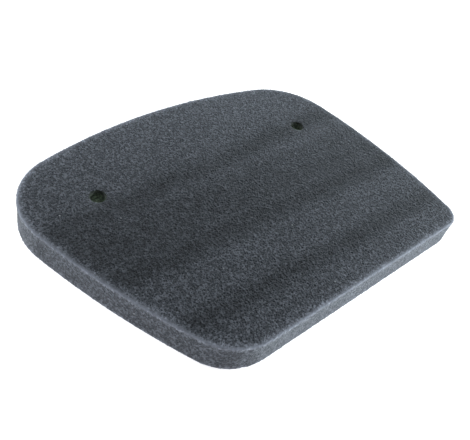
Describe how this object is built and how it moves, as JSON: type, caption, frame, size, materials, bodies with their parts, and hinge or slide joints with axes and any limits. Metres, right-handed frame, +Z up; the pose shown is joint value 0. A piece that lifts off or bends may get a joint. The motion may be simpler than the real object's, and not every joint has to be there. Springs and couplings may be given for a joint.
{
  "type": "foam air filter element",
  "caption": "Flat open-cell foam filter pad with a bowed outline and two through holes, cut to lie in a small engine's air box and strain the intake air.",
  "frame": {"origin": "on the underside, at the middle of the outline's bounding box, which is also halfway between the two peg holes in X", "axes": "+X along the straight front edge, from the left shoulder to the squared right side; +Y from the front edge to the bowed back edge; +Z up through the thickness"},
  "size_m": [0.204, 0.147, 0.015],
  "materials": {
    "charcoal_foam": "matte"
  },
  "bodies": {
    "root": {"foam_element": "charcoal_foam"}
  },
  "joints": []
}
